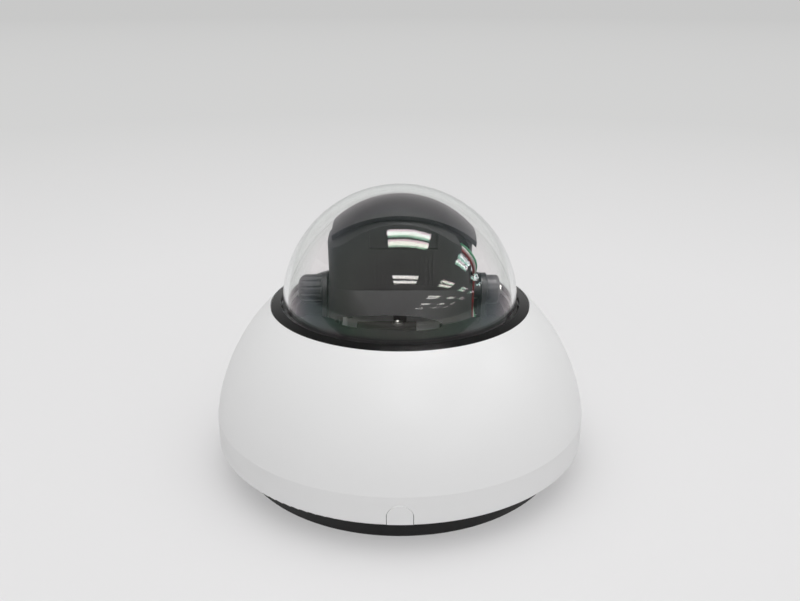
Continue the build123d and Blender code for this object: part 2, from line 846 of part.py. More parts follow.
def crown_outline(inset):
    """Plan of the crown: a rounded rectangle that the sphere cuts short at the front."""
    with BuildSketch() as outline:
        with Locations((crown_x, (crown_rear_y + crown_front_y) / 2)):
            RectangleRounded(
                2 * (crown_half_width - inset),
                crown_front_y - crown_rear_y - 2 * inset,
                crown_corner - inset,
            )
    return outline.sketch


def skirt_outline(inset):
    """Plan of the foot of the skirt."""
    with BuildSketch() as outline:
        with Locations((crown_x, (skirt_rear_y + skirt_front_y) / 2)):
            RectangleRounded(
                2 * (skirt_half_width - inset),
                skirt_front_y - skirt_rear_y - 2 * inset,
                skirt_corner - inset,
            )
    return outline.sketch


def skirt_head_outline(inset):
    """Plan of the skirt where it leaves the crown, as deep as the crown at the rear."""
    with BuildSketch() as outline:
        with Locations((crown_x, (crown_rear_y + skirt_front_y) / 2)):
            RectangleRounded(
                2 * (crown_half_width - inset),
                skirt_front_y - crown_rear_y - 2 * inset,
                crown_corner - inset,
            )
    return outline.sketch


def liner_form(inset):
    """Crown and skirt as one solid, drawn in by the inset on every side."""
    with BuildPart() as form:
        with BuildSketch(Plane.XY.offset(brim_bottom_z)):
            add(crown_outline(inset))
        extrude(amount=2 * crown_sphere)
        with Locations((0, 0, axis_z)):
            Sphere(crown_sphere - inset, mode=Mode.INTERSECT)
        with BuildSketch(Plane.XY.offset(brim_top_z)):
            add(skirt_outline(inset))
        with BuildSketch(Plane.XY.offset(skirt_top_z)):
            add(skirt_head_outline(inset))
        loft()
        with BuildSketch(Plane.XY.offset(brim_bottom_z)):
            add(skirt_outline(inset))
        extrude(amount=brim_thickness)
    return form.part


# The rear right corner of the crown, where the wires come out
corner_x = crown_x + crown_half_width - crown_corner
corner_y = crown_rear_y + crown_corner
corner_angle = 45.0
through_liner = 4 * liner_wall
corner_offset = (corner_x + corner_y) * cos(radians(corner_angle))
corner_distance = (corner_x - corner_y) * cos(radians(corner_angle)) + crown_corner
rear_wall = outward_plane(0, -crown_rear_y)

# Liner: the black inner cover that hides the works and turns with the lens
with BuildPart() as inner_liner:
    add(liner_form(0))
    with BuildSketch(Plane.XY.offset(brim_bottom_z)):
        Circle(brim_radius)
    extrude(amount=brim_thickness)
    add(liner_form(liner_wall), mode=Mode.SUBTRACT)
    with BuildSketch(Plane.YZ.offset(unit_x - lens_slot_half_width)):
        with BuildLine():
            Polyline(*axis_fan(lens_slot_low_angle, lens_slot_high_angle, cover_radius), close=True)
        make_face()
    extrude(amount=2 * lens_slot_half_width, mode=Mode.SUBTRACT)
    with BuildSketch(Plane.XY.offset(brim_bottom_z)):
        with Locations((unit_x, 0)):
            Rectangle(
                2 * (visor_half_width + visor_path_margin),
                cover_radius,
                align=(Align.CENTER, Align.MIN),
            )
        Circle(visor_radius + visor_path_margin, mode=Mode.INTERSECT)
        Circle(brim_front_radius, mode=Mode.SUBTRACT)
    extrude(amount=brim_thickness, mode=Mode.SUBTRACT)
    with BuildSketch(Plane.XY.offset(brim_bottom_z)):
        for side in (-1, 1):
            with Locations((crown_x + side * (crown_half_width + part_gap + cover_radius / 2), 0)):
                Rectangle(cover_radius, 2 * pocket_half_depth)
    extrude(amount=pocket_top_z - brim_bottom_z, mode=Mode.SUBTRACT)
    with BuildSketch(Plane.XY.offset(brim_bottom_z)):
        Rectangle(2 * cover_radius, 2 * (axle_radius + axle_slot_gap))
    extrude(amount=axis_z + axle_radius + axle_slot_gap - brim_bottom_z, mode=Mode.SUBTRACT)
    with BuildSketch(rear_wall):
        with Locations((panel_x, (panel_bottom_z + panel_top_z) / 2)):
            Rectangle(panel_width, panel_top_z - panel_bottom_z)
    extrude(amount=-panel_depth, mode=Mode.SUBTRACT)
    with BuildSketch(rear_wall):
        with Locations((panel_x, (skirt_top_z + panel_bottom_z) / 2)):
            with GridLocations(rib_pitch, 1, rib_count, 1):
                Rectangle(rib_width, panel_bottom_z - skirt_top_z - 2 * liner_wall)
    extrude(amount=-rib_depth, mode=Mode.SUBTRACT)
    with BuildSketch(rear_wall):
        with Locations((seam_x, (skirt_top_z + panel_bottom_z) / 2)):
            Rectangle(seam_width, panel_bottom_z - skirt_top_z)
        with Locations((crown_x, skirt_top_z)):
            Rectangle(2 * (crown_half_width - crown_corner), seam_width)
    extrude(amount=-seam_depth, mode=Mode.SUBTRACT)
    with BuildSketch(outward_plane(0, -arch_inner_y)):
        with Locations((arch_x, brim_top_z)):
            Ellipse(arch_half_width, arch_height)
            Rectangle(
                2 * arch_half_width,
                arch_height,
                align=(Align.CENTER, Align.MIN),
                mode=Mode.INTERSECT,
            )
    extrude(amount=brim_radius, mode=Mode.SUBTRACT)
    with BuildSketch(Plane.XY.offset(brim_bottom_z)):
        with Locations(Location((arch_x, arch_hole_y), arch_hole_turn)):
            Ellipse(arch_half_width, arch_hole_half_depth)
    extrude(amount=brim_thickness, mode=Mode.SUBTRACT)
    with BuildSketch(outward_plane(corner_angle, corner_distance - through_liner / 2)):
        with Locations((corner_offset, axis_z + wire_notch_bottom)):
            Rectangle(wire_notch_width, crown_sphere, align=(Align.CENTER, Align.MIN))
    extrude(amount=through_liner, mode=Mode.SUBTRACT)
    with BuildSketch(Plane.XY.offset(brim_bottom_z)):
        with Locations(*lug_places):
            Circle(small_screw.shank_radius + thread_fit)
    extrude(amount=liner_screw_length - lug_height, mode=Mode.SUBTRACT)

liner_screws = screw_group(
    facing_down.offset(lug_height - brim_bottom_z),
    [(x, -y) for x, y in lug_places],
    small_screw,
    liner_screw_length,
)

# Pan lock: a clamp bar on the rear shelf and the screw that tightens it
with BuildPart() as pan_lock_bar:
    with BuildSketch(Plane.XY.offset(pan_top_z)):
        with Locations((shelf_x, lock_bar_y)):
            Rectangle(lock_bar_width, lock_bar_depth)
        with Locations(lock_screw_place):
            Circle(medium_screw.shank_radius + screw_clearance, mode=Mode.SUBTRACT)
    extrude(amount=lock_bar_height)

pan_lock_screw = screw_group(
    Plane.XY.offset(pan_top_z + lock_bar_height), [lock_screw_place], medium_screw, lock_screw_length
)

# Tilt cradle: two cheeks on axle stubs, joined by a plate with the roll bearing
axle_ends = {-1: yoke_outer, 1: yoke_outer + part_gap}
axle_bores = {-1: knob_stud_radius, 1: medium_screw.shank_radius}
cheek_inner = cheek_outer - cheek_thickness
visor_screw_places = [
    (x, v) for x in (-visor_arm_x, visor_arm_x) for v in (-visor_screw_v, visor_screw_v)
]
with BuildPart() as tilt_cradle:
    for side in (-1, 1):
        with BuildSketch(Plane.YZ.offset(unit_x + side * cheek_inner)):
            with Locations((0, axis_z)):
                Circle(cheek_radius)
        extrude(amount=side * cheek_thickness)
        with BuildSketch(Plane.YZ.offset(unit_x + side * cheek_inner)):
            with Locations((0, axis_z)):
                Circle(axle_radius)
        extrude(amount=side * (axle_ends[side] - cheek_inner))
        with BuildSketch(Plane.YZ.offset(unit_x + side * cheek_inner)):
            with Locations((0, axis_z)):
                Circle(axle_bores[side] + thread_fit)
        extrude(amount=side * (axle_ends[side] - cheek_inner), mode=Mode.SUBTRACT)
    with BuildSketch(optic.offset(plate_back)):
        RectangleRounded(2 * cheek_inner + cheek_thickness, plate_height, plate_corner)
        Circle(sleeve_radius + running_fit, mode=Mode.SUBTRACT)
        with Locations(*visor_screw_places):
            Circle(small_screw.shank_radius + screw_clearance, mode=Mode.SUBTRACT)
    extrude(amount=plate_thickness)

# Visor: a spherical band over the crown, on two arms that stand on the cradle's plate
with BuildPart() as visor_arms:
    with BuildSketch(optic.offset(plate_front)):
        with Locations((-visor_arm_x, 0), (visor_arm_x, 0)):
            Rectangle(visor_arm_thickness, visor_arm_height)
    extrude(amount=visor_radius)
    with Locations((0, 0, axis_z)):
        Sphere(visor_radius - visor_wall / 2, mode=Mode.INTERSECT)
    with BuildSketch(optic.offset(plate_front)):
        with Locations(*visor_screw_places):
            Circle(small_screw.shank_radius + thread_fit)
    extrude(amount=visor_screw_length - plate_thickness, mode=Mode.SUBTRACT)

with BuildPart() as visor:
    with BuildSketch(Plane.YZ.offset(unit_x - visor_half_width)):
        with BuildLine():
            Polyline(*axis_fan(visor_low_angle, visor_high_angle, cover_radius), close=True)
        make_face()
    extrude(amount=2 * visor_half_width)
    with Locations((0, 0, axis_z)):
        Sphere(visor_radius, mode=Mode.INTERSECT)
        Sphere(visor_radius - visor_wall, mode=Mode.SUBTRACT)
    with BuildSketch(optic):
        Circle(visor_hole_radius)
    extrude(amount=2 * visor_radius, mode=Mode.SUBTRACT)
    add(visor_arms.part)

visor_screws = screw_group(
    optic_back.offset(-plate_back), visor_screw_places, small_screw, visor_screw_length
)

# Right pivot: a cap held on the axle by a screw
with BuildPart() as tilt_pivot_cap:
    with BuildSketch(Plane.YZ.offset(unit_x + axle_ends[1])):
        with Locations((0, axis_z)):
            Circle(pivot_cap_radius)
            Circle(medium_screw.shank_radius + screw_clearance, mode=Mode.SUBTRACT)
    extrude(amount=pivot_cap_thickness)
    rims = edges().filter_by(GeomType.CIRCLE).sort_by(Axis.X)
    chamfer(rims.group_by(SortBy.RADIUS)[-1][-1], cap_chamfer)

tilt_pivot_screw = screw_group(
    Plane.YZ.offset(unit_x + axle_ends[1] + pivot_cap_thickness),
    [(0, axis_z)],
    medium_screw,
    pivot_screw_length,
)

# Left pivot: a fluted knob whose stud screws into the axle and locks the tilt
knob_face_x = unit_x - yoke_outer - part_gap
with BuildPart() as tilt_lock_knob:
    with BuildSketch(Plane.YZ.offset(knob_face_x)):
        with Locations((0, axis_z)):
            Circle(knob_radius)
    extrude(amount=-knob_length)
    fillet(edges().sort_by(Axis.X)[0], knob_round)
    with BuildSketch(Plane.YZ.offset(knob_face_x)):
        with Locations((0, axis_z)):
            with PolarLocations(knob_radius, knob_flutes):
                Circle(knob_flute_radius)
    extrude(amount=-knob_length, mode=Mode.SUBTRACT)
    with BuildSketch(Plane.YZ.offset(knob_face_x)):
        with Locations((0, axis_z)):
            Circle(knob_stud_radius)
    extrude(amount=knob_stud_length)


def turned(profile):
    """A piece turned about the optical axis from points (radius, distance along it)."""
    with BuildPart() as piece:
        with BuildSketch(lens_section):
            with BuildLine():
                Polyline(*profile, close=True)
            make_face()
        revolve(axis=optical_axis)
    return piece


def lens_glass(radius, back, edge, crown_radius, crown):
    """A lens element: a disc with a domed front face."""
    with BuildPart() as glass:
        with BuildSketch(lens_section):
            with BuildLine():
                Polyline(
                    (0, back + edge + crown),
                    (0, back),
                    (radius, back),
                    (radius, back + edge),
                    (crown_radius, back + edge),
                )
                sphere_radius = (crown_radius**2 + crown**2) / (2 * crown)
                RadiusArc((crown_radius, back + edge), (0, back + edge + crown), -sphere_radius)
            make_face()
        revolve(axis=optical_axis)
    return glass


# Roll carriage: a sleeve in the cradle's bearing that carries lens and sensor
sleeve_bore = barrel_radius + thread_fit
lens_carriage = turned(
    [
        (sleeve_bore, sleeve_back),
        (sleeve_radius, sleeve_back),
        (sleeve_radius, sleeve_front),
        (roll_flange_radius, sleeve_front),
        (roll_flange_radius, lens_seat),
        (sleeve_bore, lens_seat),
    ]
)

retainer_front = plate_back - slide_gap
roll_retainer = turned(
    [
        (sleeve_radius + thread_fit, retainer_front - retainer_thickness),
        (retainer_radius, retainer_front - retainer_thickness),
        (retainer_radius, retainer_front),
        (sleeve_radius + thread_fit, retainer_front),
    ]
)

# Sensor board screwed to the back of the sleeve, with the sensor on the optical axis
with BuildPart() as sensor_board:
    with BuildSketch(optic.offset(sleeve_back - sensor_board_thickness)):
        Rectangle(sensor_board_size, sensor_board_size)
    extrude(amount=sensor_board_thickness)

with BuildPart() as image_sensor:
    with BuildSketch(optic.offset(sleeve_back)):
        Rectangle(sensor_width, sensor_height)
    extrude(amount=sensor_thickness)

# Lens: barrel, glasses, infrared filter, two control rings and the front bezel
lens_barrel = turned(
    [
        (barrel_bore, barrel_back),
        (barrel_radius, barrel_back),
        (barrel_radius, lens_seat),
        (shoulder_radius, lens_seat),
        (shoulder_radius, lens_seat + shoulder_thickness),
        (barrel_radius, lens_seat + shoulder_thickness),
        (barrel_radius, barrel_front),
        (barrel_bore, barrel_front),
    ]
)

bezel_lip_z = barrel_front + front_glass_edge + running_fit
lens_bezel = turned(
    [
        (sleeve_bore, bezel_back),
        (bezel_radius, bezel_back),
        (bezel_radius, bezel_front),
        (bezel_lip_radius, bezel_front),
        (bezel_lip_radius, bezel_lip_z),
        (sleeve_bore, bezel_lip_z),
    ]
)

front_glass = lens_glass(
    front_glass_radius, barrel_front, front_glass_edge, bezel_lip_radius - part_gap, front_glass_crown
)
rear_glass = lens_glass(
    barrel_bore - thread_fit, rear_glass_place, rear_glass_edge, rear_glass_radius, rear_glass_crown
)
infrared_filter = turned(
    [
        (0, barrel_back),
        (barrel_bore - thread_fit, barrel_back),
        (barrel_bore - thread_fit, barrel_back + filter_thickness),
        (0, barrel_back + filter_thickness),
    ]
)


def radial_plane(distance):
    """A plane on the optical axis that faces up from the lens."""
    origin = Vector(*axis_point) + distance * Vector(*aim)
    return Plane(origin=origin, x_dir=(1, 0, 0), z_dir=aim_up)


def control_ring(back, length):
    """A faceted ring that turns on the barrel, drilled for its lock pin."""
    with BuildPart() as ring:
        with BuildSketch(optic.offset(back)):
            RegularPolygon(ring_radius, ring_sides)
            Circle(barrel_radius + running_fit, mode=Mode.SUBTRACT)
        extrude(amount=length)
        with BuildSketch(radial_plane(back + length / 2)):
            Circle(pin_radius + thread_fit)
        extrude(amount=pin_tip, mode=Mode.SUBTRACT)
    return ring


def lock_pin(distance):
    """A headed pin standing out of a control ring."""
    with BuildPart() as pin:
        with BuildSketch(radial_plane(distance).offset(barrel_radius + part_gap)):
            Circle(pin_radius)
        extrude(amount=pin_tip - barrel_radius - part_gap)
        with BuildSketch(radial_plane(distance).offset(pin_tip - pin_head_height)):
            Circle(pin_head_radius)
        extrude(amount=pin_head_height)
    return pin


zoom_ring = control_ring(zoom_back, zoom_ring_length)
zoom_lock_pin = lock_pin(zoom_back + zoom_ring_length / 2)
focus_ring = control_ring(focus_back, focus_ring_length)
focus_lock_pin = lock_pin(focus_back + focus_ring_length / 2)

# Wires out of the crown's notch and down its right side to a plug on the pan ring
wire_route = [
    (24.4, -13.6, axis_z + 24.5),
    (27.0, -16.2, axis_z + 24.0),
    (30.0, -19.2, axis_z + 21.6),
    (34.2, -15.6, axis_z + 15.0),
    (35.3, -10.6, axis_z + 6.0),
    (35.4, -9.6, axis_z - 6.0),
    (35.3, -9.5, pan_top_z + plug_height),
]


def bend_radii(points):
    """The largest radius at each corner that its two runs leave room for."""
    corners = [Vector(*p) for p in points]
    radii = []
    for before, corner, after in zip(corners, corners[1:], corners[2:]):
        turn = (corner - before).get_angle(after - corner)
        shorter = min((corner - before).length, (after - corner).length)
        radii.append(bend_share * shorter / tan(radians(turn / 2)))
    return radii


def make_wire(step):
    """One wire of the flat bundle, a whole number of pitches from the middle one."""
    shift = step * wire_pitch * cos(radians(corner_angle))
    points = [(x + shift, y + shift, z) for x, y, z in wire_route]
    with BuildPart() as wire:
        with BuildLine() as route:
            FilletPolyline(*points, radius=bend_radii(points))
        with BuildSketch(Plane(origin=route.line @ 0, z_dir=route.line % 0)):
            Circle(wire_radius)
        sweep()
    return wire


wire_red = make_wire(-1)
wire_white = make_wire(0)
wire_green = make_wire(1)
print("wire bend radii", [round(r, 2) for r in bend_radii(wire_route)])

with BuildPart() as wire_plug:
    with BuildSketch(Plane.XY.offset(pan_top_z)):
        with Locations(wire_route[-1][:2]):
            Rectangle(plug_length, plug_depth)
    extrude(amount=plug_height)

pieces = {
    "mounting_base": mounting_base,
    "cable_grommet": cable_grommet,
    "main_board": main_board,
    "board_screws": board_screws,
    "network_jack": network_jack,
    "power_terminals": power_terminals,
    "card_slot": card_slot,
    "processor_shield": processor_shield,
    "status_led": status_led,
    "reset_switch": reset_switch,
    "reset_button": reset_button,
    "pan_deck": pan_deck,
    "deck_screws": deck_screws,
    "cover_shell": cover_shell,
    "cover_screws": cover_screws,
    "knockout_tab": knockout_tab,
    "trim_ring": trim_ring,
    "dome_bubble": dome_bubble,
    "dome_gasket": dome_gasket,
    "dome_clamp_ring": dome_clamp_ring,
    "clamp_screws": clamp_screws,
    "pan_ring": pan_ring,
    "yoke_left": yoke_left,
    "yoke_right": yoke_right,
    "yoke_screws": yoke_screws,
    "inner_liner": inner_liner,
    "liner_screws": liner_screws,
    "pan_lock_bar": pan_lock_bar,
    "pan_lock_screw": pan_lock_screw,
    "wire_red": wire_red,
    "wire_white": wire_white,
    "wire_green": wire_green,
    "wire_plug": wire_plug,
    "tilt_cradle": tilt_cradle,
    "visor": visor,
    "visor_screws": visor_screws,
    "tilt_pivot_cap": tilt_pivot_cap,
    "tilt_pivot_screw": tilt_pivot_screw,
    "tilt_lock_knob": tilt_lock_knob,
    "lens_carriage": lens_carriage,
    "roll_retainer": roll_retainer,
    "sensor_board": sensor_board,
    "image_sensor": image_sensor,
    "lens_barrel": lens_barrel,
    "lens_bezel": lens_bezel,
    "front_glass": front_glass,
    "rear_glass": rear_glass,
    "infrared_filter": infrared_filter,
    "zoom_ring": zoom_ring,
    "zoom_lock_pin": zoom_lock_pin,
    "focus_ring": focus_ring,
    "focus_lock_pin": focus_lock_pin,
}

os.makedirs("parts", exist_ok=True)
for label, piece in pieces.items():
    piece.part.label = label
    export_step(piece.part, f"parts/{label}.step")
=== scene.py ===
# %% [markdown]
# A dome security camera standing on its mounting base.
# The solid parts are already built, in metres, and this lesson dresses them: it gives every
# part a finish made of shader nodes, adds the small fasteners that the solids leave plain,
# and sets up the room that the camera stands in.

# %% The solid parts
import bmesh
import bpy
import json
from math import cos, pi, radians, sin, tan
from mathutils import Matrix, Vector


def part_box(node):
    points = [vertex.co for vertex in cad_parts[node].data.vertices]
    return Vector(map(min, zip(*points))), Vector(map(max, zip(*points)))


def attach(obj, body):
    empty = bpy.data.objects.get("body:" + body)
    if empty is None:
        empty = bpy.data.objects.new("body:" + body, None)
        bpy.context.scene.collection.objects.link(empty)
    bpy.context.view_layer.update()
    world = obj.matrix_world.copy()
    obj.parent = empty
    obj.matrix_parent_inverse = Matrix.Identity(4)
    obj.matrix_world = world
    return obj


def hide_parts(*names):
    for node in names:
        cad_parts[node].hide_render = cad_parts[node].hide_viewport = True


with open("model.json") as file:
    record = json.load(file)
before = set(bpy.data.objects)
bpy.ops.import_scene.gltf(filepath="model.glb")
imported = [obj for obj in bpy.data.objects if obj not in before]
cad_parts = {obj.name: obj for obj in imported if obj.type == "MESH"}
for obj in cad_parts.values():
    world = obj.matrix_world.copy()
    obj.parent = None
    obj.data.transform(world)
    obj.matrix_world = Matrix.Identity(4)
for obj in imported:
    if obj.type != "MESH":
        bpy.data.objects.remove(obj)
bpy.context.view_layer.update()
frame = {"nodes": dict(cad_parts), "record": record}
parts = frame["nodes"]
mm = 0.001

# %% [markdown]
# Shader maths as Python.
# A finish is a graph of nodes, and a graph is hard to read when every sum is a separate node
# made by hand. Three small classes help. A Socket stands for one output of a node, and the usual
# signs + - * / add the Math nodes. A Graph is any node tree, and its node method adds any other
# node: the type, then its settings, then the values or links of its sockets. A Finish is the
# graph of one material.

# %% Sockets and finishes
class Socket:
    def __init__(self, graph, socket):
        self.graph = graph
        self.socket = socket

    def maths(self, operation, first, second):
        return self.graph.node("ShaderNodeMath", {"operation": operation}, {0: first, 1: second})

    def __add__(self, other):
        return self.maths("ADD", self, other)

    def __radd__(self, other):
        return self.maths("ADD", other, self)

    def __sub__(self, other):
        return self.maths("SUBTRACT", self, other)

    def __rsub__(self, other):
        return self.maths("SUBTRACT", other, self)

    def __mul__(self, other):
        return self.maths("MULTIPLY", self, other)

    def __rmul__(self, other):
        return self.maths("MULTIPLY", other, self)

    def __truediv__(self, other):
        return self.maths("DIVIDE", self, other)

    def __rtruediv__(self, other):
        return self.maths("DIVIDE", other, self)


class Graph:
    def __init__(self, tree):
        self.tree = tree

    def feed(self, socket, value):
        if isinstance(value, Socket):
            self.tree.links.new(value.socket, socket)
        else:
            socket.default_value = value

    def node(self, kind, settings, sockets, output=0):
        node = self.tree.nodes.new(kind)
        for name, value in settings.items():
            if name == "stops":
                for stop, (place, colour) in zip(node.color_ramp.elements, value):
                    stop.position = place
                    stop.color = colour
            else:
                setattr(node, name, value)
        for name, value in sockets.items():
            self.feed(node.inputs[name], value)
        return Socket(self, node.outputs[output])


class Finish(Graph):
    def __init__(self, name, constants):
        self.material = bpy.data.materials.new(name)
        self.material.use_nodes = True
        super().__init__(self.material.node_tree)
        self.shader = self.tree.nodes["Principled BSDF"]
        self.set(constants)

    def set(self, sockets):
        for name, value in sockets.items():
            self.feed(self.shader.inputs[name], value)


def grey(level):
    return (level, level, level, 1.0)


print("a finish is ready to be mixed")

# %% [markdown]
# Habits that the finishes here share.
# The parts keep their place in their own coordinates, so Object coordinates are metres on the
# real camera and a grain of half a millimetre is a noise of scale 2000. The helpers below
# give that place, a noise, a blend of two colours, a value moved from one range to another, a
# fine relief for the Normal socket, and how far a surface faces up.

# %% Grain, blend and relief
def place(finish):
    return finish.node("ShaderNodeTexCoord", {}, {}, "Object")


def grain(finish, size, detail=3.0, where=None):
    sockets = {"Vector": where or place(finish), "Scale": 1 / size, "Detail": detail}
    return finish.node("ShaderNodeTexNoise", {}, sockets)


def blend(finish, factor, first, second):
    return finish.node("ShaderNodeMix", {"data_type": "RGBA"}, {0: factor, 6: first, 7: second}, 2)


def between(finish, value, low, high, start, end):
    sockets = {"Value": value, 1: low, 2: high, 3: start, 4: end}
    return finish.node("ShaderNodeMapRange", {"clamp": True}, sockets)


def relief(finish, height, depth):
    return finish.node("ShaderNodeBump", {}, {"Height": height, "Distance": depth})


def facing_up(finish):
    normal = finish.node("ShaderNodeNewGeometry", {}, {}, "Normal")
    return finish.node("ShaderNodeSeparateXYZ", {}, {0: normal}, "Z")


finishes = {}
print("helpers for grain, blend and relief are ready")

# %% [markdown]
# The white cover.
# Such covers are moulded in white polycarbonate with a fine satin texture. Up close the
# texture is a field of tiny rounded pits; from a step away it only softens the reflection.
# The pits are a noise that feeds a Bump node, and a second, much larger noise makes the gloss
# and the whiteness drift a little, as they do on a real moulding. A third makes patches where
# hands have polished it a little smoother.

# %% White satin cover
def moulded_white(name, colour, shade):
    finish = Finish(name, {"Specular IOR Level": 0.45})
    pits = grain(finish, 0.55 * mm, 2.0)
    drift = grain(finish, 45 * mm, 4.0)
    handled = between(finish, grain(finish, 9 * mm, 6.0), 0.55, 0.75, 0.0, 1.0)
    finish.set({
        "Base Color": blend(finish, drift, colour, shade),
        "Roughness": 0.36 + 0.10 * drift - 0.05 * handled,
        "Normal": relief(finish, pits, 0.012 * mm),
    })
    return finish


finishes["white_cover"] = moulded_white("white_cover", (0.80, 0.80, 0.80, 1), (0.775, 0.775, 0.777, 1))
finishes["button_white"] = moulded_white("button_white", (0.74, 0.74, 0.72, 1), (0.70, 0.70, 0.68, 1))
print("white finishes", list(finishes))

# %% [markdown]
# The black plastics.
# Base, trim ring, liner and visor are all black, but not the same black. The base is coarse and
# dull, the trim ring is the smoothest, the liner inside the bubble is finely etched so that it
# does not glare into the lens, and the visor is satin. One recipe with a roughness, a grain size
# and a relief depth covers them. A little dust lightens what faces up. The liner has none, and
# its brim, which faces up, carries painted shade: a deeper black than its sides.

# %% Black mouldings
def moulded_black(name, level, shine, roughness, grain_size, depth, dust, painted_shade_on_top=None):
    finish = Finish(name, {"Specular IOR Level": shine})
    pits = grain(finish, grain_size, 3.0)
    drift = grain(finish, 30 * mm, 4.0)
    specks = between(finish, grain(finish, 4 * mm, 8.0), 0.4, 0.7, 0.3, 1.0)
    settled = between(finish, facing_up(finish), 0.5, 1.0, 0.0, dust) * specks
    black = blend(finish, drift, grey(level), grey(level * 1.35))
    # Painted shade: what faces up is painted a deeper black than the sides.
    if painted_shade_on_top is not None:
        painted_shade_mask = between(finish, facing_up(finish), 0.7, 0.95, 0.0, 1.0)
        black = blend(finish, painted_shade_mask, black, grey(painted_shade_on_top))
    finish.set({
        "Base Color": blend(finish, settled, black, (0.16, 0.155, 0.15, 1)),
        "Roughness": roughness + 0.10 * drift + 0.3 * settled,
        "Normal": relief(finish, pits, depth),
    })
    return finish


# Each row: level of the black, shine, roughness, grain size, relief depth, dust, level of the painted shade
# on top.
blacks = {
    "black_base": (0.003, 0.12, 0.50, 0.7 * mm, 0.05 * mm, 0.02),
    "black_trim": (0.003, 0.17, 0.18, 0.5 * mm, 0.006 * mm, 0.01),
    "black_liner": (0.026, 0.40, 0.42, 0.45 * mm, 0.020 * mm, 0.0, 0.003),
    "black_visor": (0.024, 0.45, 0.36, 0.45 * mm, 0.012 * mm, 0.02),
    "switch_black": (0.022, 0.50, 0.40, 0.4 * mm, 0.015 * mm, 0.01),
    "seal_rubber": (0.030, 0.40, 0.70, 0.3 * mm, 0.020 * mm, 0.06),
}
for name, recipe in blacks.items():
    finishes[name] = moulded_black(name, *recipe)
print("black finishes", list(blacks))

# %% [markdown]
# The bubble.
# The dome is clear polycarbonate with a hard coating. Clear plastic is a shader with full
# Transmission, almost no roughness and a refractive index. Polycarbonate's own is nearly 1.59,
# and the 1.50 used here keeps the reflections as faint as in the photograph. The coating has a
# lower index still and is thinner than a thousandth of a millimetre, so it tints the
# reflections with faint purple and green, which the thin film setting gives. All these are the
# same over the whole dome, so they sit on the shader's own sockets, and only the roughness
# carries a trace of wiping marks.

# %% Clear bubble
def clear_bubble():
    finish = Finish("clear_dome", {
        "Base Color": (0.985, 0.985, 0.985, 1),
        "Transmission Weight": 1.0,
        "IOR": 1.50,
        "Thin Film Thickness": 900.0,
        "Thin Film IOR": 1.43,
    })
    wiped = between(finish, grain(finish, 14 * mm, 6.0), 0.45, 0.75, 0.0, 1.0)
    finish.set({"Roughness": 0.002 + 0.006 * wiped})
    return finish


finishes["clear_dome"] = clear_bubble()
print("bubble finish", finishes["clear_dome"].material.name)

# %% [markdown]
# Metal parts.
# Screws and pins are zinc-plated steel and the jack, card slot and shield are tinned sheet.
# Both are fully metallic; what tells them apart is the scratch pattern. Stretching a noise
# along one axis gives the drawn lines of sheet, and an even noise gives the plated bloom.

# %% Plated and tinned metal
def metal(name, bright, dull, smoothest, roughest, stretch):
    finish = Finish(name, {"Metallic": 1.0})
    drawn = finish.node("ShaderNodeVectorMath", {"operation": "MULTIPLY"}, {0: place(finish), 1: stretch})
    lines = grain(finish, 0.35 * mm, 4.0, drawn)
    bloom = grain(finish, 2.5 * mm, 5.0)
    finish.set({
        "Base Color": blend(finish, bloom, bright, dull),
        "Roughness": smoothest + (roughest - smoothest) * lines,
        "Normal": relief(finish, lines, 0.0015 * mm),
    })
    return finish


even = (1, 1, 1)
drawn_lengthwise = (1, 0.06, 1)
# Each row: bright colour, dull colour, lowest and highest roughness, stretch of the scratches.
metals = {
    "screw_steel": ((0.62, 0.61, 0.58, 1), (0.50, 0.49, 0.46, 1), 0.22, 0.40, even),
    "pin_steel": ((0.66, 0.66, 0.65, 1), (0.55, 0.55, 0.54, 1), 0.16, 0.30, even),
    "tin_plate": ((0.72, 0.71, 0.69, 1), (0.60, 0.59, 0.57, 1), 0.20, 0.36, drawn_lengthwise),
}
for name, recipe in metals.items():
    finishes[name] = metal(name, *recipe)
print("metal finishes", list(metals))

# %% [markdown]
# The lens.
# The barrel and its rings are black anodised aluminium, turned on a lathe, so the cutter's fine
# rings run round the optical axis. The glass carries an anti-reflection coating whose leftover
# reflection is purple and green; thin film on a clear shader gives that.

# %% Lens barrel and glass
lens_aim = Vector((0, 1, 1)).normalized()


def turned_black():
    finish = Finish("lens_black", {"Specular IOR Level": 0.6})
    sockets = {0: place(finish), 1: lens_aim}
    along = finish.node("ShaderNodeVectorMath", {"operation": "DOT_PRODUCT"}, sockets, "Value")
    cutter_step = 0.25 * mm
    cut = finish.node("ShaderNodeMath", {"operation": "SINE"}, {0: along * (2 * pi / cutter_step)})
    bloom = grain(finish, 1.5 * mm, 4.0)
    finish.set({
        "Base Color": blend(finish, bloom, grey(0.016), grey(0.026)),
        "Roughness": 0.34 + 0.10 * bloom,
        "Normal": relief(finish, cut, 0.004 * mm),
    })
    return finish


def coated_glass():
    finish = Finish("lens_glass", {
        "Base Color": (0.96, 0.97, 0.97, 1),
        "Transmission Weight": 1.0,
        "IOR": 1.6,
        "Thin Film Thickness": 330.0,
        "Thin Film IOR": 1.38,
    })
    breath = grain(finish, 6 * mm, 5.0)
    finish.set({"Roughness": 0.004 * breath})
    return finish


finishes["lens_black"] = turned_black()
finishes["lens_glass"] = coated_glass()
print("lens looks along", tuple(round(part, 3) for part in lens_aim))

# %% [markdown]
# Electronics.
# The main board is glass fibre under a green lacquer: copper tracks show through it as slightly
# lighter lines. Tracks run square to each other, so a Brick texture with thin joints is close to
# how they look. The screw terminals are plain green nylon.

